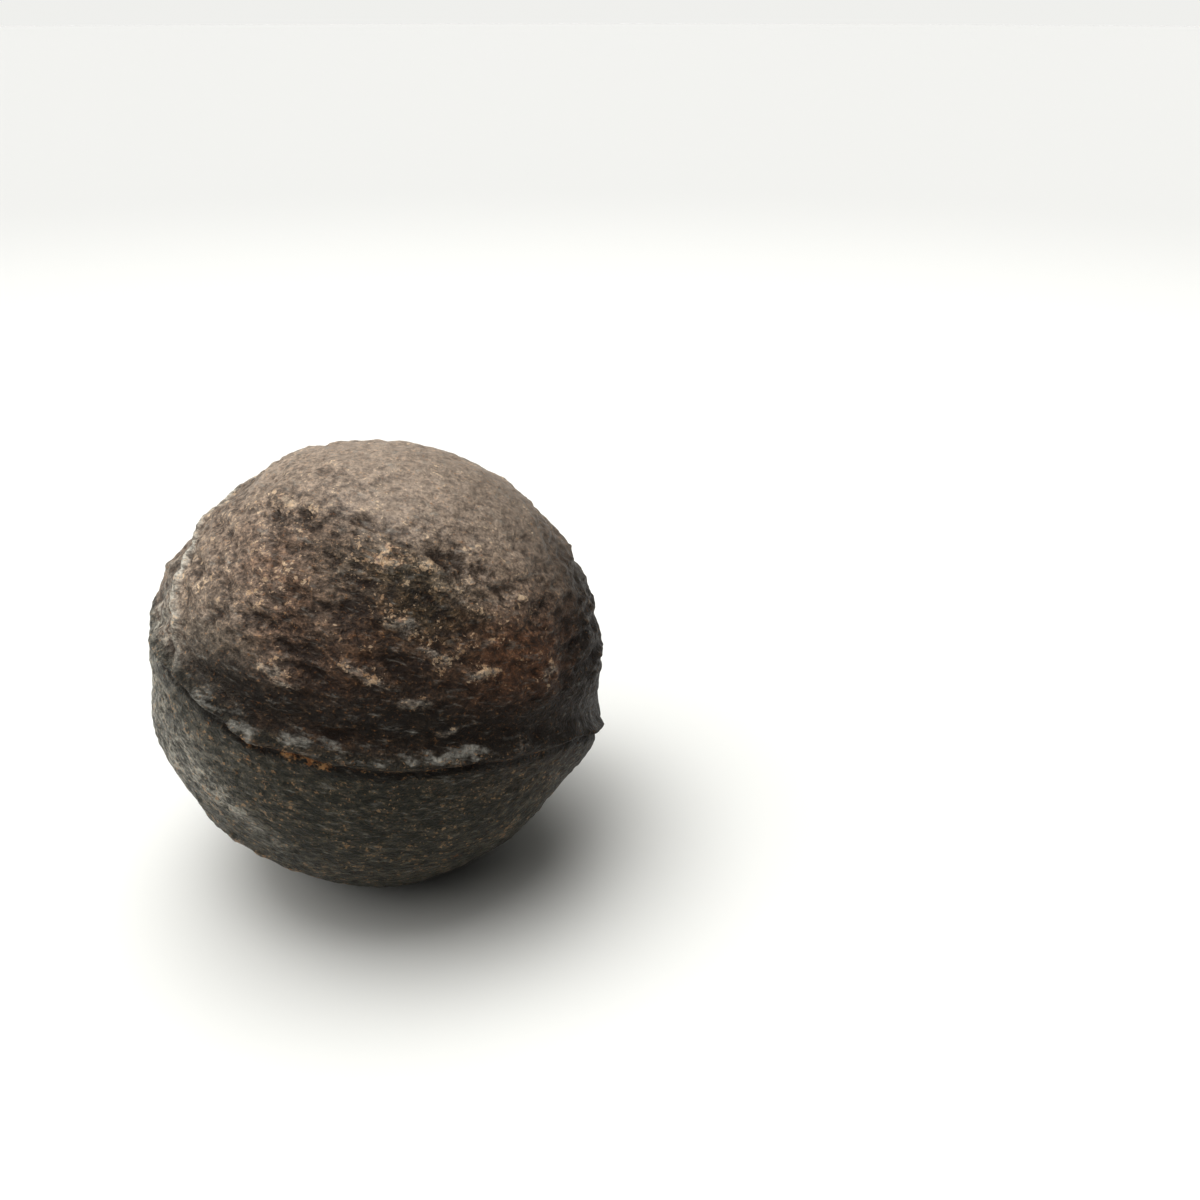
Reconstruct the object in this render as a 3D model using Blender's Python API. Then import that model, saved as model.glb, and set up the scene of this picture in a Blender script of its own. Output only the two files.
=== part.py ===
"""A moqui marble: a round iron-oxide concretion, about 42 mm across, with a lip of hard stone round it.

Metres, +Z up. The origin is under the middle of the stone, on the surface that it rests on, and -Y is its
front. The stone grew as one piece, so it is one solid. Its places are given in belt coordinates: longitude
runs round the lip from the front towards +X, and latitude is the angle above the plane of the lip.
"""

import math

import bmesh
import bpy
import numpy as np

MM = 0.001

# Driving dimensions
BALL_RADIUS = 21.0 * MM
FOOT_DROP = 20.35 * MM
BELT_TILT = math.radians(14.3)
BELT_TILT_TOWARDS = math.radians(78.0)
CUBE_CELLS = 28

# The lip round the middle: longitude, latitude of its crest, height, and how far its underside reaches down
LIP_STATIONS = (
    (-160, 4.0, 0.60, 2.0),
    (-138, 6.5, 0.40, 1.6),
    (-115, 7.5, 0.50, 1.4),
    (-97, 6.0, 0.16, 1.4),
    (-84, 6.2, 0.14, 1.3),
    (-74, 6.5, 0.34, 1.2),
    (-57, 7.8, 0.50, 1.2),
    (-45, 7.0, 0.60, 1.2),
    (-33, 4.8, 0.60, 1.2),
    (-20, 6.2, 0.50, 1.3),
    (-3, 6.4, 0.45, 1.3),
    (9, 8.2, 0.55, 1.4),
    (20, 9.6, 0.60, 1.5),
    (35, 9.2, 0.40, 1.8),
    (51, 7.8, 0.50, 2.4),
    (62, 4.4, 0.70, 3.0),
    (69, 1.2, 0.70, 3.4),
    (77, -0.5, 0.36, 3.0),
    (90, 2.0, 0.20, 2.6),
    (106, 4.6, 0.30, 2.0),
    (120, 5.5, 0.40, 1.8),
    (145, 8.0, 0.70, 1.6),
    (172, 6.0, 0.50, 1.8),
)
LIP_ABOVE = 0.9 * MM
LIP_BELOW_POWER = 1.6
GROOVE_RISE = 2.1 * MM
GROOVE_WIDTH = 1.2 * MM
GROOVE_SHARE = 0.45
HALVES_STEP = 0.16 * MM
HALVES_BLEND = 1.6 * MM

# The upper ridge that leaves the lip on the left and comes back to it behind: longitude, latitude
RIDGE_STATIONS = (
    (-215, 8.0),
    (-188, 20.0),
    (-160, 29.0),
    (-128, 34.0),
    (-96, 32.0),
    (-85, 28.8),
    (-78, 24.8),
    (-72, 20.0),
    (-66, 16.5),
    (-58, 9.0),
    (-54, 6.0),
)
RIDGE_HEIGHT = 0.32 * MM
RIDGE_WIDTH = 0.7 * MM
RIDGE_FADE = 12.0

# Broad swells: longitude, latitude, half length, half width, lean in degrees, and height, below 0 for flats
SWELLS = (
    (62, -17, 6.0, 4.5, 0, -0.34),
    (67, -6, 4.5, 3.0, 0, 0.45),
    (76, 21, 5.0, 2.6, 0, 0.10),
    (100, 46, 1.8, 1.6, 0, -0.45),
    (106, 52, 3.0, 2.0, 20, -0.25),
    (122, 62, 3.6, 2.2, 20, -0.30),
    (-120, 51, 3.4, 2.4, 0, 0.20),
    (-108, 36, 4.6, 3.0, 60, -0.70),
    (-102, 28, 3.6, 2.2, 0, -0.42),
    (-95, 13, 2.2, 2.0, 0, 0.20),
    (-84, -8, 3.4, 2.2, 0, -0.45),
    (-74, -19, 3.6, 3.0, 0, 0.30),
    (-53, -38, 2.4, 2.0, 0, 0.30),
    (-60, -35, 4.0, 2.6, 10, -0.25),
    (-26, -49, 6.0, 3.4, 0, -0.26),
    (41, -38, 5.0, 3.2, 0, -0.24),
    (10, 75, 7.0, 5.0, 0, -0.16),
    (150, 30, 6.5, 4.0, -15, 0.30),
    (118, -12, 7.0, 4.0, 10, -0.34),
    (175, -30, 6.0, 4.4, 0, 0.26),
    (-150, -22, 6.4, 3.6, 12, -0.36),
    (-105, -48, 5.2, 4.0, 0, 0.22),
    (178, 55, 6.0, 3.6, 8, -0.32),
    (110, -45, 5.0, 4.0, 0, -0.22),
)

# Hollows between the lip and the upper ridge, in the same form
HOLLOWS = (
    (-88, 22, 2.8, 1.7, 62, -0.60),
    (-85, 14.0, 2.2, 0.9, 40, -0.45),
    (-77, 11.4, 2.4, 0.9, 40, -0.45),
    (-117, 19, 2.7, 3.4, -8, -0.60),
    (-133, 22, 2.4, 3.0, 12, -0.45),
    (-149, 16, 2.9, 2.8, 0, -0.55),
    (-167, 14, 3.0, 2.2, -10, -0.50),
    (172, 11, 2.8, 1.4, -14, -0.35),
)

# Gentle lumps all over: wavelength, height and seed
LUMPS = ((12.0 * MM, 0.17 * MM, 3), (5.5 * MM, 0.11 * MM, 7))

# The lumps' noise: each lattice corner's three slopes are ten bits each of one 32-bit hash
NOISE_FACTORS = np.array([0x8DA6B343, 0xD8163841, 0xCB1AB31F], np.uint32)
NOISE_SEED_FACTOR = 0x9E3779B1
HASH_FACTOR = np.uint32(0x85EBCA6B)
HASH_SHIFTS = (np.uint32(15), np.uint32(13))
WORD_BITS = 0xFFFFFFFF
SLOPE_SHIFTS = (0, 10, 20)
SLOPE_BITS = 0x3FF

CREASE_ANGLE = math.radians(40.0)
STONE_COLOUR = (0.055, 0.040, 0.032, 1.0)
STONE_ROUGHNESS = 0.55


def clear_scene():
    for old in list(bpy.data.objects):
        bpy.data.objects.remove(old)


def belt_axes():
    """North, the normal of the belt's plane, then the belt's front and its side, as unit vectors."""
    north = np.array(
        [
            math.sin(BELT_TILT) * math.sin(BELT_TILT_TOWARDS),
            -math.sin(BELT_TILT) * math.cos(BELT_TILT_TOWARDS),
            math.cos(BELT_TILT),
        ]
    )
    front = np.array([0.0, -1.0, 0.0])
    front -= north * (front @ north)
    front /= np.linalg.norm(front)
    return north, front, np.cross(north, front)


def corner_pull(cell, offset, seed):
    """Offset from a lattice corner, times that corner's random slope."""
    mixed = (cell.astype(np.int64) & WORD_BITS).astype(np.uint32) * NOISE_FACTORS
    hashed = mixed[:, 0] ^ mixed[:, 1] ^ mixed[:, 2] ^ np.uint32((seed * NOISE_SEED_FACTOR) & WORD_BITS)
    hashed ^= hashed >> HASH_SHIFTS[0]
    hashed *= HASH_FACTOR
    hashed ^= hashed >> HASH_SHIFTS[1]
    parts = [(hashed >> np.uint32(shift)) & np.uint32(SLOPE_BITS) for shift in SLOPE_SHIFTS]
    slopes = 2 * np.stack(parts, axis=1) / SLOPE_BITS - 1
    return np.sum(slopes * offset, axis=1)


def gradient_noise(points, seed):
    """Smooth noise between about -1 and 1, one wave to a unit of length."""
    cell = np.floor(points)
    inside = points - cell
    fade = inside**3 * (inside * (inside * 6 - 15) + 10)
    total = np.zeros(len(points))
    for corner in np.ndindex(2, 2, 2):
        weight = np.prod(np.where(corner, fade, 1 - fade), axis=1)
        total += weight * corner_pull(cell + corner, inside - corner, seed)
    return total


def belt_coordinates(directions):
    """Longitude and latitude of each direction, in degrees."""
    north, front, side = belt_axes()
    longitude = np.degrees(np.arctan2(directions @ side, directions @ front))
    latitude = np.degrees(np.arcsin(np.clip(directions @ north, -1, 1)))
    return longitude, latitude


def swell(directions, longitude, latitude, half_length, half_width, lean, height):
    """An oval swelling: height * exp(-(x / half length)^2 - (y / half width)^2), x leaning from the belt."""
    north, front, side = belt_axes()
    lon, lat, turn = (math.radians(angle) for angle in (longitude, latitude, lean))
    outwards = math.cos(lon) * front + math.sin(lon) * side
    centre = math.cos(lat) * outwards + math.sin(lat) * north
    east = math.cos(lon) * side - math.sin(lon) * front
    up = np.cross(centre, east)
    along = BALL_RADIUS * (directions @ (math.cos(turn) * east + math.sin(turn) * up))
    across = BALL_RADIUS * (directions @ (math.cos(turn) * up - math.sin(turn) * east))
    shape = np.exp(-((along / (half_length * MM)) ** 2) - (across / (half_width * MM)) ** 2)
    return np.where(directions @ centre > 0, height * MM * shape, 0.0)


def lip(longitude, latitude):
    """The lip, falling slowly below its crest and fast above to a groove, and the step between the halves."""
    stations = np.array(LIP_STATIONS)
    at_stations = stations[:, 0]
    crest, height, reach = (np.interp(longitude, at_stations, stations[:, k], period=360) for k in (1, 2, 3))
    rise = BALL_RADIUS * np.radians(latitude - crest)
    below = np.exp(-(np.abs(rise / (reach * MM)) ** LIP_BELOW_POWER))
    above = np.exp(-((rise / LIP_ABOVE) ** 2))
    groove = GROOVE_SHARE * np.exp(-(((rise - GROOVE_RISE) / GROOVE_WIDTH) ** 2))
    step = HALVES_STEP * np.tanh(rise / HALVES_BLEND)
    return height * MM * (np.where(rise < 0, below, above) - groove) + step


def upper_ridge(longitude, latitude):
    """A narrow ridge along its stations, fading out over RIDGE_FADE degrees at both ends."""
    stations = np.array(RIDGE_STATIONS)
    first, last = stations[0, 0], stations[-1, 0]
    wrapped = np.where(longitude > last, longitude - 360, longitude)
    line = np.interp(wrapped, stations[:, 0], stations[:, 1])
    fade = np.clip(np.minimum(wrapped - first, last - wrapped) / RIDGE_FADE, 0, 1)
    rise = BALL_RADIUS * np.radians(latitude - line)
    return RIDGE_HEIGHT * fade * np.exp(-((rise / RIDGE_WIDTH) ** 2))


def stone_radius(directions):
    """Distance from the middle of the stone to its surface, along each unit direction."""
    longitude, latitude = belt_coordinates(directions)
    radius = BALL_RADIUS + lip(longitude, latitude) + upper_ridge(longitude, latitude)
    for row in SWELLS + HOLLOWS:
        radius += swell(directions, *row)
    for wavelength, height, seed in LUMPS:
        radius += height * gradient_noise(directions * BALL_RADIUS / wavelength, seed)
    return radius


def cube_sphere(cells):
    """A mesh of a cube cut into a grid, whose corners are then spread at equal angles over a unit sphere."""
    mesh = bmesh.new()
    bmesh.ops.create_cube(mesh, size=2.0)
    bmesh.ops.subdivide_edges(mesh, edges=mesh.edges[:], cuts=cells - 1, use_grid_fill=True)
    flat = np.array([corner.co for corner in mesh.verts])
    spread = np.tan(flat * math.pi / 4)
    spread /= np.linalg.norm(spread, axis=1, keepdims=True)
    return mesh, spread


def cut_foot(mesh):
    """Cuts the stone flat where it rests, FOOT_DROP below its middle, and closes the cut with one face."""
    cut = bmesh.ops.bisect_plane(
        mesh,
        geom=mesh.verts[:] + mesh.edges[:] + mesh.faces[:],
        plane_co=(0, 0, -FOOT_DROP),
        plane_no=(0, 0, -1),
        clear_outer=True,
    )
    rim = [piece for piece in cut["geom_cut"] if isinstance(piece, bmesh.types.BMEdge)]
    bmesh.ops.contextual_create(mesh, geom=rim)


def stand_on_origin(mesh):
    """Moves the stone so that the middle of the bottom of its box is the origin."""
    corners = np.array([corner.co for corner in mesh.verts])
    low, high = corners.min(axis=0), corners.max(axis=0)
    middle = (low + high) / 2
    bmesh.ops.translate(mesh, verts=mesh.verts[:], vec=(-middle[0], -middle[1], -low[2]))


def stone_material():
    material = bpy.data.materials.new("ironstone")
    material.use_nodes = True
    shader = material.node_tree.nodes["Principled BSDF"]
    shader.inputs["Base Color"].default_value = STONE_COLOUR
    shader.inputs["Roughness"].default_value = STONE_ROUGHNESS
    shader.inputs["Metallic"].default_value = 0.0
    return material


def make_stone(collection):
    mesh, directions = cube_sphere(CUBE_CELLS)
    for corner, place in zip(mesh.verts, directions * stone_radius(directions)[:, None]):
        corner.co = place
    cut_foot(mesh)
    stand_on_origin(mesh)
    bmesh.ops.recalc_face_normals(mesh, faces=mesh.faces[:])
    data = bpy.data.meshes.new("stone")
    mesh.to_mesh(data)
    mesh.free()
    data.materials.append(stone_material())
    data.shade_smooth()
    data.set_sharp_from_angle(angle=CREASE_ANGLE)
    collection.objects.link(bpy.data.objects.new("stone", data))


def main():
    clear_scene()
    collection = bpy.data.collections.new("moqui_marble")
    bpy.context.scene.collection.children.link(collection)
    make_stone(collection)


main()
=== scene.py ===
"""The looks of a moqui marble: the skin of a round ironstone concretion, and the sand grains in it.

Metres, +Z up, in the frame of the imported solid. The stone's own places are given in belt coordinates.
Longitude runs round the lip from the front towards +X. Latitude is the angle above the plane that the lip
lies in, and the bedding of the old sandstone is parallel to that plane. Tables give lengths in millimetres.
"""

import math
from types import SimpleNamespace

import bpy
import numpy as np
from mathutils import Matrix, Vector


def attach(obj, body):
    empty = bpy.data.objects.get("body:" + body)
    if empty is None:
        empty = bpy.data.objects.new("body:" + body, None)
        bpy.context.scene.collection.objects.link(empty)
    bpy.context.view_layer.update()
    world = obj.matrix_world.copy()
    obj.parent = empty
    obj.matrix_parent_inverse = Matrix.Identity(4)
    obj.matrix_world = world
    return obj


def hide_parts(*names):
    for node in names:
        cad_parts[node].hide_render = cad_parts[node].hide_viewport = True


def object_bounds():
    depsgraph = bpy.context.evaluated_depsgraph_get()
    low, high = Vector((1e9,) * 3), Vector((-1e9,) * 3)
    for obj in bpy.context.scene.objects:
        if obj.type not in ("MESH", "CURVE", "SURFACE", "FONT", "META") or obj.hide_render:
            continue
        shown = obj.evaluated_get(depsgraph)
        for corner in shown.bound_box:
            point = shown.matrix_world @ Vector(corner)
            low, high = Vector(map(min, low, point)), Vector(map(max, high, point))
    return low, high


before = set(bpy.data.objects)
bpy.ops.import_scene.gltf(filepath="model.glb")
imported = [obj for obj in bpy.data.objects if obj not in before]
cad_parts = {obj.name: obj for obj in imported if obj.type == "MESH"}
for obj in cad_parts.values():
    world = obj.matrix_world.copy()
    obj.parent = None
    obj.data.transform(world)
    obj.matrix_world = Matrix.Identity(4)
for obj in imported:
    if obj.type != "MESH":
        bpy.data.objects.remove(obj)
cad_low, cad_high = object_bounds()

MM = 0.001

# The stone's own sizes, as the solid has them. The foot lies FOOT_DROP below the stone's middle
BALL_RADIUS = 21.0 * MM
FOOT_DROP = 20.35 * MM
BELT_TILT = math.radians(14.3)
BELT_TILT_TOWARDS = math.radians(78.0)

# The lip round the middle: longitude, latitude of its crest, height, and how far its underside reaches down
LIP_STATIONS = (
    (-160, 4.0, 0.60, 2.0),
    (-138, 6.5, 0.40, 1.6),
    (-115, 7.5, 0.50, 1.4),
    (-97, 6.0, 0.16, 1.4),
    (-84, 6.2, 0.14, 1.3),
    (-74, 6.5, 0.34, 1.2),
    (-57, 7.8, 0.50, 1.2),
    (-45, 7.0, 0.60, 1.2),
    (-33, 4.8, 0.60, 1.2),
    (-20, 6.2, 0.50, 1.3),
    (-3, 6.4, 0.45, 1.3),
    (9, 8.2, 0.55, 1.4),
    (20, 9.6, 0.60, 1.5),
    (35, 9.2, 0.40, 1.8),
    (51, 7.8, 0.50, 2.4),
    (62, 4.4, 0.70, 3.0),
    (69, 1.2, 0.70, 3.4),
    (77, -0.5, 0.36, 3.0),
    (90, 2.0, 0.20, 2.6),
    (106, 4.6, 0.30, 2.0),
    (120, 5.5, 0.40, 1.8),
    (145, 8.0, 0.70, 1.6),
    (172, 6.0, 0.50, 1.8),
)
LIP_ABOVE = 0.9 * MM
LIP_BELOW_POWER = 1.6
GROOVE_RISE = 2.1 * MM
GROOVE_WIDTH = 1.2 * MM
GROOVE_SHARE = 0.45
HALVES_STEP = 0.16 * MM
HALVES_BLEND = 1.6 * MM

# The upper ridge that leaves the lip on the left and comes back to it behind: longitude, latitude
RIDGE_STATIONS = (
    (-215, 8.0),
    (-188, 20.0),
    (-160, 29.0),
    (-128, 34.0),
    (-96, 32.0),
    (-85, 28.8),
    (-78, 24.8),
    (-72, 20.0),
    (-66, 16.5),
    (-58, 9.0),
    (-54, 6.0),
)
RIDGE_HEIGHT = 0.32 * MM
RIDGE_WIDTH = 0.7 * MM
RIDGE_FADE = 12.0

# Broad swells, and flats below 0: longitude, latitude, half length, half width, lean in degrees, height
SWELLS = (
    (62, -17, 6.0, 4.5, 0, -0.34),
    (67, -6, 4.5, 3.0, 0, 0.45),
    (76, 21, 5.0, 2.6, 0, 0.10),
    (100, 46, 1.8, 1.6, 0, -0.45),
    (106, 52, 3.0, 2.0, 20, -0.25),
    (122, 62, 3.6, 2.2, 20, -0.30),
    (-120, 51, 3.4, 2.4, 0, 0.20),
    (-108, 36, 4.6, 3.0, 60, -0.70),
    (-102, 28, 3.6, 2.2, 0, -0.42),
    (-95, 13, 2.2, 2.0, 0, 0.20),
    (-84, -8, 3.4, 2.2, 0, -0.45),
    (-74, -19, 3.6, 3.0, 0, 0.30),
    (-53, -38, 2.4, 2.0, 0, 0.30),
    (-60, -35, 4.0, 2.6, 10, -0.25),
    (-26, -49, 6.0, 3.4, 0, -0.26),
    (41, -38, 5.0, 3.2, 0, -0.24),
    (10, 75, 7.0, 5.0, 0, -0.16),
    (150, 30, 6.5, 4.0, -15, 0.30),
    (118, -12, 7.0, 4.0, 10, -0.34),
    (175, -30, 6.0, 4.4, 0, 0.26),
    (-150, -22, 6.4, 3.6, 12, -0.36),
    (-105, -48, 5.2, 4.0, 0, 0.22),
    (178, 55, 6.0, 3.6, 8, -0.32),
    (110, -45, 5.0, 4.0, 0, -0.22),
)

# Hollows between the lip and the upper ridge, in the same form
HOLLOWS = (
    (-88, 22, 2.8, 1.7, 62, -0.60),
    (-85, 14.0, 2.2, 0.9, 40, -0.45),
    (-77, 11.4, 2.4, 0.9, 40, -0.45),
    (-117, 19, 2.7, 3.4, -8, -0.60),
    (-133, 22, 2.4, 3.0, 12, -0.45),
    (-149, 16, 2.9, 2.8, 0, -0.55),
    (-167, 14, 3.0, 2.2, -10, -0.50),
    (172, 11, 2.8, 1.4, -14, -0.35),
)

# Gentle lumps all over: wavelength, height and seed
LUMPS = ((12.0 * MM, 0.17 * MM, 3), (5.5 * MM, 0.11 * MM, 7))

# Small pits and knobs on the side that the photograph shows, in the form of SWELLS
PITS = (
    (-62, 51, 1.3, 0.55, 0, -0.45),
    (-52, 55, 0.8, 0.45, 0, -0.30),
    (-28, 60, 1.3, 0.5, 0, -0.33),
    (-15, 60, 1.6, 0.6, -8, -0.48),
    (-9, 57, 1.1, 0.5, 0, -0.30),
    (5, 55, 1.1, 0.5, -20, -0.36),
    (11, 56, 1.6, 0.7, -30, -0.195),
    (24, 50.5, 2.4, 0.8, -32, -0.195),
    (35, 44, 2.0, 0.7, -30, -0.18),
    (-29, 48.5, 0.9, 0.5, 0, -0.27),
    (-16, 45.4, 1.5, 0.7, 0, -0.36),
    (-18, 39.3, 1.5, 0.9, 10, -0.39),
    (-30, 26.3, 1.8, 0.6, -10, -0.36),
    (-27, 28, 1.0, 0.6, 0, -0.30),
    (-4, 29.7, 1.7, 0.9, -10, -0.51),
    (-53, 25.3, 1.4, 0.9, 20, -0.42),
    (-23, 23.9, 1.6, 0.6, 0, -0.36),
    (2, 26.6, 1.1, 0.6, -10, -0.39),
    (-40, 5.8, 1.1, 0.6, -20, -0.45),
    (-30, 1.4, 0.9, 0.5, -20, -0.33),
    (-13, 10.2, 1.2, 0.5, 0, -0.36),
    (37, 11.7, 1.1, 0.6, 0, -0.36),
    (42, 9.5, 0.9, 0.5, 0, -0.30),
    (31, 47.5, 0.9, 0.5, 0, -0.24),
    (73, 53, 1.3, 0.6, 0, -0.33),
    (73, 44.6, 1.1, 0.5, 0, -0.27),
    (-45, -39, 1.1, 0.6, 28, -0.39),
    (-36, -41, 1.3, 0.5, 20, -0.42),
    (-27, -43.5, 1.2, 0.5, 10, -0.36),
)
KNOBS = (
    (3, 52.5, 1.1, 0.7, 0, 0.30),
    (-12, 50.6, 1.3, 0.7, 0, 0.33),
    (-3, 38.2, 1.5, 0.8, -12, 0.39),
    (6, 32.2, 1.9, 0.7, -16, 0.36),
    (-13, 26.6, 1.7, 0.6, 0, 0.30),
    (-7, 24.6, 1.3, 0.5, 0, 0.27),
    (2, 21.3, 1.6, 0.5, 8, 0.39),
    (20, 28.6, 1.8, 0.6, 10, 0.39),
    (41, 26.6, 1.2, 0.7, 0, 0.30),
    (-33, 20.9, 1.7, 0.5, 6, 0.33),
    (-27, 19.2, 1.5, 0.5, 0, 0.30),
    (11, 15.5, 1.4, 0.5, 0, 0.30),
    (31, 10.4, 1.2, 0.5, 0, 0.24),
    (9, 58.5, 1.2, 0.7, -20, 0.21),
    (74, 35, 1.8, 0.7, -75, 0.21),
    (66, 30, 1.2, 0.6, -60, 0.21),
    (72, 52, 1.6, 0.7, -50, 0.18),
    (-62, 54.6, 1.5, 0.6, 0, 0.27),
    (-52, 58, 1.1, 0.6, 0, 0.21),
    (-28, 63, 1.4, 0.6, 0, 0.24),
    (-40, -36, 1.4, 0.6, 24, 0.33),
    (-31, -38, 1.3, 0.5, 18, 0.33),
    (-22, -41, 1.3, 0.6, 8, 0.27),
)

# Ribs that cross the hollows from the upper ridge, in the form of SWELLS
RIBS = (
    (-79, 18.2, 1.5, 0.34, 36, 0.30),
    (-75.5, 14.4, 2.2, 0.34, 47, 0.32),
    (-95, 17, 2.2, 0.4, 50, 0.30),
    (-124, 21, 2.6, 0.4, 70, 0.30),
    (-141, 19, 2.4, 0.4, 62, 0.30),
)

# Colour zones (soot with painted shade, grey film with painted sheen), worn patches painted pale as
# highlights, and rust spots, in the form of SWELLS with a strength in place of the height
OLIVE_ZONES = (
    (-3, 48, 6.0, 2.6, -8, 0.9),
    (2, 39, 3.4, 1.6, 0, 0.6),
    (-50, 20, 5.0, 2.0, 10, 0.4),
    (130, 30, 7.0, 4.0, 0, 0.6),
    (-140, 48, 7.0, 4.0, 0, 0.6),
)
RUSSET_ZONES = (
    (62, 28, 9.0, 8.0, 0, 0.75),
    (30, 20, 8.0, 3.6, 0, 0.6),
    (28, 35, 6.0, 4.0, -20, 0.5),
    (-20, 24, 7.0, 3.0, 0, 0.5),
    (-50, 42, 6.0, 3.0, 0, 0.5),
    (-170, 25, 9.0, 4.0, 0, 0.7),
    (100, 60, 6.0, 4.0, 0, 0.5),
)
# Soot and painted shade, darkest on the right side
SOOT_AND_SHADE_ZONES = (
    (0, 16, 16.0, 3.4, 0, 0.9),
    (-2, 28, 6.5, 3.6, 0, 0.35),
    (50, 15, 10.0, 3.6, 0, 0.8),
    (84, 24, 7.0, 12.0, 0, 1.0),
    (66, 20, 5.0, 8.0, 0, 0.8),
    (-45, 13, 7.0, 2.6, 0, 0.7),
    (140, 15, 14.0, 4.0, 0, 0.8),
    (-150, 14, 12.0, 4.0, 0, 0.8),
)
# Grey film and painted sheen: the lower left side painted grey as if mirroring the white surroundings
FILM_AND_SHEEN_ZONES = (
    (-76, -6, 6.5, 4.4, 60, 1.0),
    (-64, -24, 6.5, 4.0, 45, 1.0),
    (-82, 12, 3.0, 5.0, 0, 0.45),
    (-34, -21, 5.0, 1.2, -36, 0.8),
    (-50, -14, 3.4, 1.8, -45, 0.7),
    (-45, -14, 6.0, 5.0, 0, 0.25),
    (150, -30, 8.0, 5.0, 0, 0.5),
)
WORN_PATCHES = (
    (-47, 7.6, 1.1, 0.40, -32, 0.9),
    (-43, 6.4, 0.7, 0.30, -25, 0.6),
    (-34, 6.6, 1.3, 0.42, -20, 1.0),
    (-31, 5.0, 0.6, 0.25, -15, 0.6),
    (-22, 8.3, 1.3, 0.38, 6, 0.9),
    (-18, 6.9, 0.8, 0.25, 0, 0.6),
    (-13, 8.9, 1.2, 0.30, 0, 0.8),
    (-9, 6.9, 0.9, 0.25, 0, 0.6),
    (-3, 7.8, 0.9, 0.28, 0, 0.8),
    (5, 9.2, 1.5, 0.26, 3, 1.0),
    (12, 10.2, 1.7, 0.34, 6, 1.0),
    (18, 11.2, 1.4, 0.30, 8, 1.0),
    (27, 13.0, 0.8, 0.25, 5, 0.5),
    (-30, 14.0, 0.9, 0.25, 0, 0.4),
    (24, 21.0, 1.0, 0.30, 0, 0.4),
    (-16, 20.0, 1.1, 0.30, 0, 0.4),
    (110, 7.6, 2.6, 0.4, 0, 0.8),
    (128, 9.4, 1.6, 0.3, 0, 0.8),
    (150, 10.6, 2.6, 0.4, 0, 0.9),
    (-165, 7.0, 2.4, 0.4, 0, 0.8),
    (-140, 8.6, 1.4, 0.3, 0, 0.8),
    (-120, 9.6, 2.2, 0.4, 0, 0.8),
)
RUST_SPOTS = (
    (-32, 3.0, 0.55, 0.60, 0, 1.4),
    (-23, 4.4, 0.85, 0.50, 0, 1.1),
    (-18, 4.2, 0.70, 0.45, 0, 1.1),
    (-14, 4.0, 0.50, 0.40, 0, 1.0),
    (-6, 4.8, 0.9, 0.30, 0, 0.5),
    (1, 5.4, 0.9, 0.26, 0, 0.55),
    (9, 6.6, 0.9, 0.26, 0, 0.5),
    (17, 8.0, 1.0, 0.26, 0, 0.5),
    (27, 8.2, 0.9, 0.26, 0, 0.5),
    (37, 7.2, 1.2, 0.30, 0, 0.5),
    (-33, -2.0, 0.4, 0.3, 0, 0.7),
    (-44, 2.6, 0.3, 0.5, 0, 0.6),
    (24, -24, 0.4, 0.3, 0, 0.6),
    (130, 5.0, 1.2, 0.3, 0, 0.8),
    (-150, 3.6, 1.0, 0.3, 0, 0.8),
)

# Dust and painted top light lie thickest on these sides: direction, where it starts and where it is full,
# share
DUST_AND_LIT_SIDES = (
    ((0.30, 0.27, 0.92), 0.42, 0.97, 1.00),
    ((-0.75, -0.05, 0.65), 0.34, 1.00, 0.43),
    ((0.52, 0.02, 0.85), 0.56, 1.00, 0.85),
)
DUST_AND_LIGHT_PATCHES = 0.22
DUST_AND_LIGHT_PATCH_WAVES = 3.2
DUST_AND_LIGHT_PATCH_SEED = 61

# The skin's grid, and how far above the lip's crest its upper half and its rugged band start and are full
GRID_CELLS = 128
UPPER_HALF = (0.2 * MM, 1.6 * MM)
UPPER_HALF_SETBACK = 0.16 * MM
RUGGED_RISE = (2.6 * MM, 5.5 * MM)
CROWN_LATITUDES = (54, 66)
CROWN_CALM = 0.8

# Noise of the skin relief: its waves' length, width and height in the bedding, in millimetres, and its seed.
# The edges of such a place are the values of the noise where it starts and where it is full
ROUGH_PLACES = ((11, 11, 11), 41)
ROUGH_PLACE_EDGES = (-0.45, 0.3)
ROUGH_PLACE_SHARE = 0.55
LEDGE_HEIGHT = 0.55 * MM
LEDGE_BREAKS = ((4.6, 4.6, 2.0), 23)
LEDGE_BREAK_EDGES = (-0.15, 0.4)
LEDGE_SHARE_IN_CALM = 0.15

# The old beds: their spacing, the share of it that drops as a scarp, and how they waver: height, noise
BED_SPACING = 2.3 * MM
SCARP_SHARE = 0.2
BED_WAVERS = ((0.55, ((9, 9, 9), 21)), (0.26, ((3.2, 3.2, 3.2), 22)))
BED_RIPPLE = 0.2
BED_RIPPLE_LENGTH = 1.3 * MM

# Lumps whose crests hang over: length, height, droop, seed, relief, and share of the relief in calm places
HANGING_LUMPS = (
    (4.6, 1.9, 1.2, 31, 0.62, 0.14),
    (2.2, 0.95, 0.6, 32, 0.50, 0.30),
    (0.95, 0.55, 0.3, 33, 0.26, 0.65),
)

# Small pits where grains fell out: cells and seed, depth, rim and floor, and which random numbers have one
GRAIN_PITS = ((1.3, 1.3, 0.7), 35)
GRAIN_PIT_DEPTH = 0.11 * MM
GRAIN_PIT_WALL = (0.45, 0.12)
GRAIN_PIT_CHANCE = (0.4, 0.9)
WORN_PATCH_HEIGHT = 0.22

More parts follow.
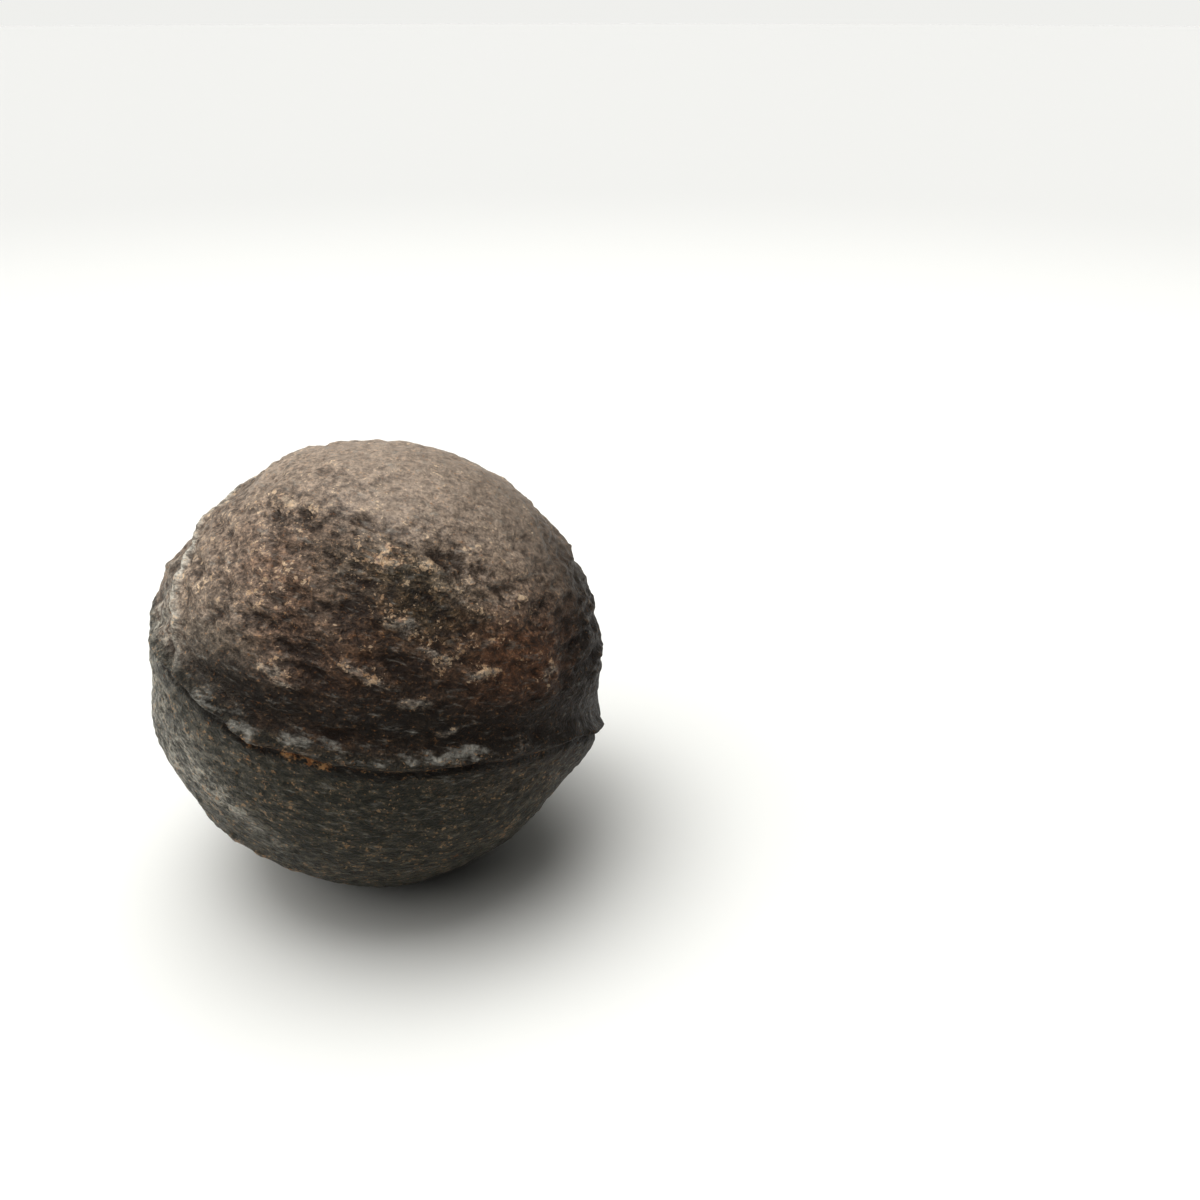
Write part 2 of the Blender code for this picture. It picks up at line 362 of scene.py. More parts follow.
# The lip's sharp rim, whose broken lengths stand higher, and the undercut below it
RIM_LENGTHS = ((3.4, 3.4, 30.0), 51)
RIM_LENGTH_EDGES = (-0.25, 0.15)
RIM_WANDER = 0.22 * MM
RIM_WANDER_WAVES = ((2.2, 2.2, 30.0), 52)
RIM_FULL_LIP = 0.55 * MM
RIM_MOST = 1.2
RIM_GROWTH = 1.5
RIM_HEIGHT = 0.18 * MM
RIM_LENGTH_HEIGHT = 0.26 * MM
RIM_WIDTH = 0.34 * MM
UNDERCUT_DEPTH = 0.32 * MM
UNDERCUT_LENGTH_DEPTH = 0.22 * MM
UNDERCUT_DROP = 0.72 * MM
UNDERCUT_WIDTH = 0.36 * MM

# The upper ridge's sharp edge, and the gutter below it
RIDGE_EDGE_HEIGHT = 0.30 * MM
RIDGE_EDGE_WIDTH = 0.32 * MM
GUTTER_DEPTH = 0.40 * MM
GUTTER_DROP = 1.1 * MM
GUTTER_WIDTH = 0.7 * MM

# How outlines are torn by noise: wavelength and reach in millimetres, and seed
TORN_OVALS = (1.3, 0.7, 71)
TORN_RIDGE = (2.0, 0.5, 81)

# What the finish follows: a full mark in millimetres, full relief, the ridge's pale line, and painted shade
# in hollows and under the lip
FULL_MARK = 0.48
FULL_RELIEF = 0.2 * MM
RIDGE_LINE_WIDTH = 0.44 * MM
RIB_LINE_SHARE = 0.35
HOLLOW_SHADE = 0.72
UNDERLIP_SHADE_DROP = 0.85 * MM
UNDERLIP_SHADE_WIDTH = 0.70 * MM

# Factors that make a lattice place and a seed into a random number
NOISE_FACTORS = np.array([0x8DA6B343, 0xD8163841, 0xCB1AB31F], np.uint32)
NOISE_SEED_FACTOR = 0x9E3779B1
HASH_FACTOR = np.uint32(0x85EBCA6B)


def belt_axes():
    """North, the normal of the belt's plane, then the belt's front and its side, as unit vectors."""
    north = np.array(
        [
            math.sin(BELT_TILT) * math.sin(BELT_TILT_TOWARDS),
            -math.sin(BELT_TILT) * math.cos(BELT_TILT_TOWARDS),
            math.cos(BELT_TILT),
        ]
    )
    front = np.array([0.0, -1.0, 0.0])
    front -= north * (front @ north)
    front /= np.linalg.norm(front)
    return north, front, np.cross(north, front)


NORTH, FRONT, SIDE = belt_axes()


def hashed(cell, seed):
    """One random 32-bit number for each lattice cell: its numbers times large factors, mixed bit by bit."""
    mixed = (cell.astype(np.int64) & 0xFFFFFFFF).astype(np.uint32) * NOISE_FACTORS
    found = mixed[..., 0] ^ mixed[..., 1] ^ mixed[..., 2]
    found = found ^ np.uint32((seed * NOISE_SEED_FACTOR) & 0xFFFFFFFF)
    found ^= found >> np.uint32(15)
    found *= HASH_FACTOR
    found ^= found >> np.uint32(13)
    return found


def three_of(numbers, low, high):
    """Three numbers between low and high from each hash, ten bits each."""
    parts = [(numbers >> np.uint32(shift)) & np.uint32(0x3FF) for shift in (0, 10, 20)]
    return low + (high - low) * np.stack(parts, axis=-1) / 1023


def smooth(value, low, high):
    """0 below low, 1 above high, and 3t^2 - 2t^3 between them."""
    t = np.clip((value - low) / (high - low), 0, 1)
    return t * t * (3 - 2 * t)


def bell(distance, width):
    """A soft hump across a line: exp(-(distance / width)^2)."""
    return np.exp(-((distance / width) ** 2))


def gradient_noise(points, seed):
    """Smooth noise between about -1 and 1, one wave to a unit of length.

    Each of a cell's eight corners has a random slope. The value is the sum of slope . (place - corner), each
    times a weight that fades from 1 at its corner to 0 at the others by 6t^5 - 15t^4 + 10t^3.
    """
    cell = np.floor(points)
    inside = points - cell
    fade = inside**3 * (inside * (inside * 6 - 15) + 10)
    total = np.zeros(len(points))
    for corner in np.ndindex(2, 2, 2):
        weight = np.prod(np.where(corner, fade, 1 - fade), axis=1)
        slopes = three_of(hashed(cell + corner, seed), -1, 1)
        total += weight * np.sum(slopes * (inside - corner), axis=1)
    return total


def nearest_seed(points, seed):
    """Distance to the nearest of the random seeds, one to each cell, and a random number of that seed."""
    cell = np.floor(points)
    best = np.full(len(points), 9.0)
    number = np.zeros(len(points))
    for step in np.ndindex(3, 3, 3):
        near = cell + (np.array(step) - 1)
        found = hashed(near, seed)
        away = np.linalg.norm(near + three_of(found, 0.1, 0.9) - points, axis=1)
        closer = away < best
        best = np.where(closer, away, best)
        number = np.where(closer, (found & np.uint32(0xFFFF)) / 0xFFFF, number)
    return best, number


def belt_coordinates(directions):
    """Longitude and latitude of each direction, in degrees."""
    longitude = np.degrees(np.arctan2(directions @ SIDE, directions @ FRONT))
    latitude = np.degrees(np.arcsin(np.clip(directions @ NORTH, -1, 1)))
    return longitude, latitude


def bedded(directions):
    """The directions as places on the ball, turned so that the third number is the height in the bedding."""
    return BALL_RADIUS * (directions @ np.stack([SIDE, -FRONT, NORTH], axis=1))


def layered(bed, waves, seed):
    """Noise whose waves have this length, width and height in the old bedding, in millimetres."""
    return gradient_noise(bed / (np.array(waves) * MM), seed)


def oval(directions, longitude, latitude, half_length, half_width, lean, height):
    """An oval swelling: height * exp(-(x / half length)^2 - (y / half width)^2).

    x runs along the belt and y up, both turned by lean, from the swelling's centre.
    """
    lon, lat, turn = (math.radians(angle) for angle in (longitude, latitude, lean))
    outwards = math.cos(lon) * FRONT + math.sin(lon) * SIDE
    centre = math.cos(lat) * outwards + math.sin(lat) * NORTH
    east = math.cos(lon) * SIDE - math.sin(lon) * FRONT
    up = np.cross(centre, east)
    along = BALL_RADIUS * (directions @ (math.cos(turn) * east + math.sin(turn) * up))
    across = BALL_RADIUS * (directions @ (math.cos(turn) * up - math.sin(turn) * east))
    shape = np.exp(-((along / (half_length * MM)) ** 2) - (across / (half_width * MM)) ** 2)
    return np.where(directions @ centre > 0, height * MM * shape, 0.0)


def ovals(directions, rows):
    """The sum of these oval swellings."""
    return sum(oval(directions, *row) for row in rows)


def with_height(rows, height):
    """The same ovals, all with this number in place of their own heights."""
    return [(*row[:5], height) for row in rows]


def zone(directions, rows, lowest=0):
    """Up to 1: how far a direction lies inside any of these ovals. Their last number is the strength."""
    return np.clip(ovals(directions, rows) / MM, lowest, 1)


def ragged(directions, wavelength, reach, seed):
    """The directions pushed about by up to reach, so that what is worked out from them gets ragged edges.

    The push is noise, plus half as much noise with waves 2.4 times as short. The result is made unit long.
    """
    at = directions * BALL_RADIUS / (wavelength * MM)
    push = np.stack([gradient_noise(at, seed + k) for k in range(3)], axis=1)
    push += 0.5 * np.stack([gradient_noise(at * 2.4, seed + 3 + k) for k in range(3)], axis=1)
    moved = directions + push * (reach * MM / BALL_RADIUS)
    return moved / np.linalg.norm(moved, axis=1, keepdims=True)


def lip_stations(longitude):
    """Latitude of the lip's crest, its height and its reach at each longitude, in degrees and metres."""
    stations = np.array(LIP_STATIONS)
    columns = [np.interp(longitude, stations[:, 0], stations[:, k], period=360) for k in (1, 2, 3)]
    crest, height, reach = columns
    return crest, height * MM, reach * MM


def above_crest(longitude, latitude):
    """How far up each place lies from the crest of the lip: radius * angle above it."""
    crest, _, _ = lip_stations(longitude)
    return BALL_RADIUS * np.radians(latitude - crest)


def lip(longitude, latitude):
    """The lip, falling slowly below its crest and fast above it to a shallow groove, and the halves' step.

    With r the way up from the crest: height * (exp(-|r / reach|^power) below it or exp(-(r / above)^2) above
    it, less a bell at the groove) + step * tanh(r / blend).
    """
    _, height, reach = lip_stations(longitude)
    rise = above_crest(longitude, latitude)
    below = np.exp(-(np.abs(rise / reach) ** LIP_BELOW_POWER))
    groove = GROOVE_SHARE * bell(rise - GROOVE_RISE, GROOVE_WIDTH)
    step = HALVES_STEP * np.tanh(rise / HALVES_BLEND)
    return height * (np.where(rise < 0, below, bell(rise, LIP_ABOVE)) - groove) + step


def beside_ridge(directions):
    """How far up each place lies from the upper ridge's line, and the ridge's share, fading at both ends."""
    longitude, latitude = belt_coordinates(directions)
    stations = np.array(RIDGE_STATIONS)
    first, last = stations[0, 0], stations[-1, 0]
    wrapped = np.where(longitude > last, longitude - 360, longitude)
    line = np.interp(wrapped, stations[:, 0], stations[:, 1])
    fade = np.clip(np.minimum(wrapped - first, last - wrapped) / RIDGE_FADE, 0, 1)
    return BALL_RADIUS * np.radians(latitude - line), fade


def upper_ridge(directions):
    """A narrow ridge along its stations: height * exp(-(rise / width)^2)."""
    rise, fade = beside_ridge(directions)
    return RIDGE_HEIGHT * fade * bell(rise, RIDGE_WIDTH)


def body_radius(directions):
    """The solid's own shape: the ball, plus its lip, upper ridge, broad swells, hollows and lumps."""
    radius = BALL_RADIUS + lip(*belt_coordinates(directions)) + upper_ridge(directions)
    radius += ovals(directions, SWELLS + HOLLOWS)
    for wavelength, height, seed in LUMPS:
        radius += height * gradient_noise(directions * BALL_RADIUS / wavelength, seed)
    return radius


def ledges(bed):
    """Worn edges of the old beds, from -0.5 to 0.5: going down, each swells slowly to a crest, then drops.

    The layer is height / spacing, wavering by noise and a sine. As its fraction grows, the ledge falls
    evenly over the slope, then rises by a smooth step over the scarp.
    """
    waver = sum(height * layered(bed, *waves) for height, waves in BED_WAVERS)
    ripple = BED_RIPPLE * np.sin(bed[:, 2] / BED_RIPPLE_LENGTH)
    layer = (bed[:, 2] + waver * MM) / BED_SPACING + ripple
    share = layer - np.floor(layer)
    slope = 1 - share / (1 - SCARP_SHARE)
    scarp = smooth(share, 1 - SCARP_SHARE, 1)
    return np.where(share < 1 - SCARP_SHARE, slope, scarp) - 0.5


def hanging_lumps(bed, length, height, droop, seed):
    """Long lumps whose crests hang over: noise that is read higher up by droop * its own value."""
    first = layered(bed, (length, length, height), seed)
    raised = bed + np.array([0.0, 0.0, droop * MM]) * first[:, None]
    return layered(raised, (length, length, height), seed)


def ruggedness(bed, latitude, rise):
    """0 to 1: the rugged band above the lip, calmer at the crown, * (1 - share + share * rough places)."""
    band = smooth(rise, *RUGGED_RISE) * (1 - CROWN_CALM * smooth(latitude, *CROWN_LATITUDES))
    rough_place = smooth(layered(bed, *ROUGH_PLACES), *ROUGH_PLACE_EDGES)
    return band * (1 - ROUGH_PLACE_SHARE + ROUGH_PLACE_SHARE * rough_place)


def rugged_crust(bed, rugged, over):
    """Ledges, hanging lumps and grain pits.

    A ledge or lump is its height * noise * (calm share + (1 - calm share) * rugged). A grain pit is a smooth
    hollow round the nearest seed, deep where that seed's random number is high.
    """
    broken = smooth(layered(bed, *LEDGE_BREAKS), *LEDGE_BREAK_EDGES) * over
    relief = LEDGE_HEIGHT * ledges(bed) * broken * (LEDGE_SHARE_IN_CALM + (1 - LEDGE_SHARE_IN_CALM) * rugged)
    for length, height, droop, seed, depth, calm in HANGING_LUMPS:
        relief += depth * MM * hanging_lumps(bed, length, height, droop, seed) * (calm + (1 - calm) * rugged)
    cells, seed = GRAIN_PITS
    away, number = nearest_seed(bed / (np.array(cells) * MM), seed)
    return relief - GRAIN_PIT_DEPTH * smooth(away, *GRAIN_PIT_WALL) * smooth(number, *GRAIN_PIT_CHANCE)


def lip_rim(bed, longitude, rise):
    """The lip's rim over an undercut: (lip height / full)^growth * (bell at the crest - bell below it)."""
    _, lip_height, _ = lip_stations(longitude)
    sharp = np.minimum(lip_height / RIM_FULL_LIP, RIM_MOST) ** RIM_GROWTH
    lengths = smooth(layered(bed, *RIM_LENGTHS), *RIM_LENGTH_EDGES)
    edge = rise + RIM_WANDER * layered(bed, *RIM_WANDER_WAVES)
    rim = (RIM_HEIGHT + RIM_LENGTH_HEIGHT * lengths) * bell(edge, RIM_WIDTH)
    depth = UNDERCUT_DEPTH + UNDERCUT_LENGTH_DEPTH * lengths
    return sharp * (rim - depth * bell(edge + UNDERCUT_DROP, UNDERCUT_WIDTH))


def ridge_edge(from_ridge, fade):
    """The upper ridge's sharp edge over a gutter: a bell on its line less a bell below it."""
    edge = RIDGE_EDGE_HEIGHT * bell(from_ridge, RIDGE_EDGE_WIDTH)
    gutter = GUTTER_DEPTH * bell(from_ridge + GUTTER_DROP, GUTTER_WIDTH)
    return fade * (edge - gutter)


def skin_relief(directions, torn, from_ridge, fade):
    """The relief of the skin over the body: the sum of its crust, marks, ribs, rim and edges.

    Returns the relief, how far up each place lies from the lip's crest, and 0 to 1 for the upper half.
    """
    longitude, latitude = belt_coordinates(directions)
    bed = bedded(directions)
    rise = above_crest(longitude, latitude)
    over = smooth(rise, *UPPER_HALF)
    relief = rugged_crust(bed, ruggedness(bed, latitude, rise), over)
    relief += ovals(torn, PITS + KNOBS + RIBS)
    relief += ovals(torn, with_height(WORN_PATCHES, WORN_PATCH_HEIGHT))
    relief += lip_rim(bed, longitude, rise) + ridge_edge(from_ridge, fade)
    return relief - UPPER_HALF_SETBACK * over, rise, over


def dust_and_light_share(directions):
    """0 to 1: dust and painted top light, the thickest of the dusty, lit sides, each share * a smooth step
    of direction . side + noise.
    """
    patchy = DUST_AND_LIGHT_PATCHES * gradient_noise(directions * DUST_AND_LIGHT_PATCH_WAVES, DUST_AND_LIGHT_PATCH_SEED)
    dust = np.zeros(len(directions))
    for side, start, full, share in DUST_AND_LIT_SIDES:
        dust = np.maximum(dust, share * smooth(directions @ side + patchy, start, full))
    return dust


def finish_marks(torn, from_ridge, fade, relief, rise, over, dust):
    """What the finish follows, a number for each point of the skin under each name."""
    line = fade * bell(from_ridge, RIDGE_LINE_WIDTH)
    # painted shade: a dark band under the lip's rim and dark hollows join the soot
    underside = bell(rise + UNDERLIP_SHADE_DROP, UNDERLIP_SHADE_WIDTH)
    hollows = zone(torn, with_height(HOLLOWS, HOLLOW_SHADE))
    marks = [(*row[:5], row[5] / FULL_MARK) for row in PITS + KNOBS]
    return {
        "edge": np.maximum(line, RIB_LINE_SHARE * zone(torn, with_height(RIBS, 1.0))),
        "relief": relief / FULL_RELIEF,
        "over": over,
        "dust": dust * over,
        "olive": zone(torn, OLIVE_ZONES),
        "russet": zone(torn, RUSSET_ZONES),
        "worn": zone(torn, WORN_PATCHES),
        "rust": zone(torn, RUST_SPOTS),
        "film": zone(torn, FILM_AND_SHEEN_ZONES),
        "mark": zone(torn, marks, -1),
        "soot": np.max([zone(torn, SOOT_AND_SHADE_ZONES), hollows, underside], axis=0),
    }


def cube_grid(cells):
    """A cube's six faces as grids, welded where they meet and made round.

    A lattice place p from -1 to 1 becomes tan(pi / 4 * p), and each point is made unit long. Returns the
    directions, the quads between them, and each quad corner's place on a map of three by two squares.
    """
    step = np.arange(cells + 1)
    along, up = np.meshgrid(step, step, indexing="ij")
    lattices, squares = [], []
    for face in range(6):
        axis, far = face % 3, face // 3
        lattice = np.empty((cells + 1, cells + 1, 3), np.int64)
        lattice[..., axis] = far * cells
        lattice[..., (axis + 1) % 3] = along if far else up
        lattice[..., (axis + 2) % 3] = up if far else along
        lattices.append(lattice.reshape(-1, 3))
        square = np.stack([(axis + along / cells) / 3, (far + up / cells) / 2], axis=-1)
        squares.append(square.reshape(-1, 2))
    lattice, squares = np.concatenate(lattices), np.concatenate(squares)
    key = (lattice * [1, cells + 1, (cells + 1) ** 2]).sum(axis=1)
    _, first, joined = np.unique(key, return_index=True, return_inverse=True)
    corner = (np.arange(6)[:, None, None] * (cells + 1) + along[:-1, :-1]) * (cells + 1) + up[:-1, :-1]
    quads = np.stack([corner, corner + cells + 1, corner + cells + 2, corner + 1], axis=-1).reshape(-1, 4)
    spread = np.tan((lattice[first] / cells * 2 - 1) * math.pi / 4)
    spread /= np.linalg.norm(spread, axis=1, keepdims=True)
    return spread, joined.reshape(-1)[quads], squares[quads.reshape(-1)]


def make_mesh(name, points, faces, values, squares):
    """A smooth mesh object from arrays, with a number for each point under each name in values."""
    data = bpy.data.meshes.new(name)
    data.vertices.add(len(points))
    data.vertices.foreach_set("co", points.astype(np.float32).ravel())
    data.loops.add(faces.size)
    data.loops.foreach_set("vertex_index", faces.astype(np.int32).ravel())
    data.polygons.add(len(faces))
    data.polygons.foreach_set("loop_start", np.arange(0, faces.size, faces.shape[1], dtype=np.int32))
    data.update(calc_edges=True)
    data.validate()
    for word, numbers in values.items():
        held = data.attributes.new(word, "FLOAT", "POINT")
        held.data.foreach_set("value", numbers.astype(np.float32))
    layer = data.uv_layers.new(name="OFBake")
    layer.uv.foreach_set("vector", squares.astype(np.float32).ravel())
    data.shade_smooth()
    made = bpy.data.objects.new(name, data)
    bpy.context.scene.collection.objects.link(made)
    return made


def find_middle(points):
    """The stone's middle: FOOT_DROP above its foot, and where its box lies in the middle of the solid's."""
    own = (points.min(axis=0) + points.max(axis=0)) / 2
    solid = (np.array(cad_low) + np.array(cad_high)) / 2
    return np.array([solid[0] - own[0], solid[1] - own[1], cad_low.z + FOOT_DROP])


def make_stone():
    """The stone's skin and its middle: middle + direction * (body radius + relief), cut flat at its foot."""
    directions, quads, squares = cube_grid(GRID_CELLS)
    torn = ragged(directions, *TORN_OVALS)
    from_ridge, fade = beside_ridge(ragged(directions, *TORN_RIDGE))
    relief, rise, over = skin_relief(directions, torn, from_ridge, fade)
    points = directions * (body_radius(directions) + relief)[:, None]
    middle = find_middle(points)
    points += middle
    points[:, 2] = np.maximum(points[:, 2], cad_low.z)
    values = finish_marks(torn, from_ridge, fade, relief, rise, over, dust_and_light_share(directions))
    return make_mesh("stone_skin", points, quads, values, squares), middle


class Wiring:
    """Adds nodes to a tree. An input is a socket of another node, or a plain value."""

    def __init__(self, tree):
        self.tree = tree

    def add(self, kind, inputs=(), **settings):
        """A node of this kind with these settings, and its inputs linked or set."""
        made = self.tree.nodes.new(kind)
        for word, value in settings.items():
            setattr(made, word, value)
        for key, value in dict(inputs).items():
            if isinstance(value, bpy.types.NodeSocket):
                self.tree.links.new(value, made.inputs[key])
            else:
                made.inputs[key].default_value = value
        return made

    def reckon(self, operation, first, second, third=0.0):
        """The result of one Math node."""
        inputs = {0: first, 1: second, 2: third}
        return self.add("ShaderNodeMath", inputs, operation=operation).outputs[0]

    def times(self, value, *factors):
        """value * each factor."""
        for factor in factors:
            value = self.reckon("MULTIPLY", value, factor)
        return value

    def plus(self, base, value, amount):
        """base + value * amount."""
        return self.reckon("MULTIPLY_ADD", value, amount, base)

    def swing(self, base, noise, amount):
        """base + (noise - 0.5) * amount."""
        return self.plus(base, self.reckon("SUBTRACT", noise, 0.5), amount)

    def ramp(self, value, low, high, start=0.0, end=1.0):
        """start below low, end above high, and a smooth step between them."""
        inputs = {"Value": value, "From Min": low, "From Max": high, "To Min": start, "To Max": end}
        return self.add("ShaderNodeMapRange", inputs, interpolation_type="SMOOTHSTEP").outputs["Result"]

    def blend(self, share, first, second):
        """A number that goes from first to second with share."""
        inputs = {0: share, 2: first, 3: second}
        return self.add("ShaderNodeMix", inputs, data_type="FLOAT").outputs[0]

    def mix(self, share, first, second, mode="MIX"):
        """A colour that goes from first to second with share."""
        inputs = {0: share, 6: first, 7: second}
        return self.add("ShaderNodeMix", inputs, data_type="RGBA", blend_type=mode).outputs[2]

    def noise(self, place, size, detail, roughness, output="Fac"):
        """Noise from 0 to 1 with waves of this size."""
        inputs = {"Vector": place, "Scale": 1 / size, "Detail": detail, "Roughness": roughness}
        return self.add("ShaderNodeTexNoise", inputs).outputs[output]

    def attribute(self, word):
        """The mesh's number of this name."""
        return self.add("ShaderNodeAttribute", attribute_name=word).outputs["Fac"]


def rgb(red, green, blue):
    """A colour for a socket, from linear red, green and blue."""
    return (red, green, blue, 1.0)


# Colours of the varnish, and on it of the dust and painted top light, the soot and painted shade, the grey
# film and painted sheen, and the painted shade in hollows
DEEP_BROWN = rgb(0.032, 0.017, 0.010)
UMBER = rgb(0.128, 0.071, 0.040)
PALE_UMBER = rgb(0.150, 0.102, 0.069)
TAUPE = rgb(0.160, 0.120, 0.089)
DEEP_GREY_GREEN = rgb(0.031, 0.031, 0.022)
GREY_GREEN = rgb(0.076, 0.069, 0.048)
RUSSET = rgb(0.184, 0.086, 0.044)
OLIVE_TINT = rgb(0.66, 0.92, 0.90)
DUST_AND_LIGHT = rgb(0.400, 0.326, 0.264)
SOOT_AND_SHADE = rgb(0.013, 0.009, 0.005)
FILM_AND_SHEEN = rgb(0.380, 0.362, 0.315)
PAINTED_HOLLOW_SHADE = rgb(0.022, 0.011, 0.006)

# Colours of edges that are worn, of knobs, crests and lip patches that are worn and painted pale as
# highlights, and of rust
BARED_EDGE = rgb(0.500, 0.480, 0.425)
KNOB_HIGHLIGHT_GREY = rgb(0.250, 0.220, 0.185)
KNOB_HIGHLIGHT_TAN = rgb(0.760, 0.600, 0.430)
CREST_HIGHLIGHT_GREY = rgb(0.235, 0.215, 0.185)
CREST_HIGHLIGHT_TAN = rgb(0.300, 0.185, 0.115)
PATCH_HIGHLIGHT_GREY = rgb(0.150, 0.142, 0.125)
PATCH_HIGHLIGHT_PALE = rgb(0.380, 0.368, 0.330)
DEEP_RUST = rgb(0.260, 0.105, 0.032)
PALE_RUST = rgb(0.470, 0.280, 0.130)

# Colours of bare sand
SAND_AMBER = rgb(0.50, 0.31, 0.17)
SAND_PALE = rgb(0.76, 0.60, 0.43)
SAND_DUSTY_AND_LIT = rgb(0.860, 0.690, 0.490)
SAND_BELOW = rgb(0.45, 0.26, 0.12)

# Mottles: flatness, how far crests hang over, wave size in millimetres, detail, roughness
MOTTLES = {
    "middling": (1.8, 0.0, 2.2, 4, 0.62),
    "broad": (1.0, 0.0, 6.0, 3, 0.5),
    "blotch": (1.7, 1.5, 1.3, 3, 0.55),
    "crust": (1.9, 2.0, 0.9, 5, 0.68),
    "fine": (1.3, 0.0, 0.30, 2, 0.6),
    "patchwork": (1.8, 0.0, 1.5, 2, 0.5),
    "streak": (4.0, 0.0, 1.3, 4, 0.6),
}

# Sand flecks, coarse and fine: cell size in millimetres, strength
SAND_FLECKS = ((0.58, 0.50), (0.29, 0.54))
FLECK_WIDTH = 1.08
FLECK_WIDTH_SPREAD = 0.62
FLECK_EDGE = 0.16
FLECK_BEND = 1.5
FLECK_BEND_WAVES = 2 / 3

# The finish's sheen and bump
REFRACTION = 1.45
SHEEN = 0.42
BUMP_DEPTH = 0.40 * MM


def sand_fleck_group():
    """Grains of bare sand: one ragged grain to each cell, with a random width and tone.

    Places are bent by noise, and a grain covers its cell's middle out to bareness * width - spread * random.
    """
    group = bpy.data.node_groups.new("sand flecks", "ShaderNodeTree")
    face = group.interface
    for word in ("Place", "Fineness", "Bareness"):
        kind = "NodeSocketVector" if word == "Place" else "NodeSocketFloat"
        face.new_socket(word, in_out="INPUT", socket_type=kind)
    for word in ("Fleck", "Tone"):
        face.new_socket(word, in_out="OUTPUT", socket_type="NodeSocketFloat")
    wire = Wiring(group)
    given = wire.add("NodeGroupInput").outputs
    inputs = {0: given["Place"], "Scale": given["Fineness"]}
    cells = wire.add("ShaderNodeVectorMath", inputs, operation="SCALE").outputs["Vector"]
    bend = wire.noise(cells, FLECK_BEND_WAVES, 2, 0.6, "Color")
    inputs = {0: bend, 1: (FLECK_BEND, FLECK_BEND, FLECK_BEND), 2: cells}
    bent = wire.add("ShaderNodeVectorMath", inputs, operation="MULTIPLY_ADD").outputs["Vector"]
    grain = wire.add("ShaderNodeTexVoronoi", {"Vector": bent, "Scale": 1.0}).outputs
    chance = wire.add("ShaderNodeSeparateColor", {0: grain["Color"]}).outputs
    width = wire.plus(wire.times(given["Bareness"], FLECK_WIDTH), chance["Red"], -FLECK_WIDTH_SPREAD)
    fleck = wire.ramp(wire.reckon("SUBTRACT", width, grain["Distance"]), 0.0, FLECK_EDGE)
    out = wire.add("NodeGroupOutput")
    group.links.new(fleck, out.inputs["Fleck"])
    group.links.new(chance["Green"], out.inputs["Tone"])
    return group


def belt_place(wire, middle):
    """The place on the stone in millimetres, turned so that its third number is height in the bedding."""
    turn = Matrix([SIDE, -FRONT, NORTH])
    shift = turn @ Vector(middle / -MM)
    inputs = {"Vector": wire.add("ShaderNodeTexCoord").outputs["Object"], "Location": shift}
    inputs.update({"Rotation": turn.to_euler(), "Scale": (1 / MM, 1 / MM, 1 / MM)})
    return wire.add("ShaderNodeMapping", inputs, vector_type="POINT").outputs["Vector"]


def stretched(wire, place, flatness, droop, amount):
    """The same place with height * flatness + droop * amount in place of its height."""
    parts = wire.add("ShaderNodeSeparateXYZ", {0: place}).outputs
    height = wire.times(parts["Z"], flatness)
    if amount:
        height = wire.plus(height, droop, amount)
    return wire.add("ShaderNodeCombineXYZ", {0: parts["X"], 1: parts["Y"], 2: height}).outputs[0]


def mottles(wire, place):
    """The noise of MOTTLES. The first one, middling, moves the places of those whose crests hang over."""
    found = {}
    for word, (flatness, hang, size, detail, roughness) in MOTTLES.items():
        at = stretched(wire, place, flatness, found.get("middling"), hang)
        found[word] = wire.noise(at, size, detail, roughness)
    return SimpleNamespace(**found)


def masks(wire, mottle):
    """The mesh's numbers for the finish, and what is worked out from them and the mottles.

    stands is about -1 in a hollow and 1 on a crest. The dusty, lit share is that of dust and painted top
    light, and patch is that of worn patches painted pale as highlights, both with mottled edges.
    """
    words = ("relief", "over", "dust", "olive", "russet", "worn", "rust", "soot", "film", "mark", "edge")
    mask = SimpleNamespace(**{word: wire.attribute(word) for word in words})
    stands = wire.swing(wire.times(mask.relief, 0.36), mottle.crust, 2.8)
    mask.stands = wire.plus(stands, mask.mark, 0.45)
    dusty = wire.swing(mask.dust, mottle.middling, 0.5)
    mask.dusty = wire.ramp(wire.swing(dusty, mottle.crust, 0.25), -0.05, 1.0)
    mask.patch = wire.ramp(wire.swing(mask.worn, mottle.streak, 3.0), 0.1, 1.0)
    return mask


def varnish(wire, mask, mottle):
    """Grey-green below the lip, brown above it and taupe under thin dust and painted top light, with russet
    and olive zones.
    """
    umber = wire.mix(wire.ramp(mottle.broad, 0.40, 0.60), UMBER, PALE_UMBER)
    brown = wire.mix(wire.ramp(mottle.blotch, 0.36, 0.60), DEEP_BROWN, umber)
    brown = wire.mix(wire.ramp(mask.dust, 0.05, 0.45), brown, TAUPE)
    mingled = wire.plus(wire.times(mottle.crust, 0.6), mottle.middling, 0.4)
    grey = wire.mix(wire.ramp(mingled, 0.40, 0.62), DEEP_GREY_GREEN, GREY_GREEN)
    colour = wire.mix(mask.over, grey, brown)
    colour = wire.mix(wire.times(mask.russet, 0.7), colour, RUSSET)
    return wire.mix(wire.times(mask.olive, 0.9), colour, OLIVE_TINT, "MULTIPLY")


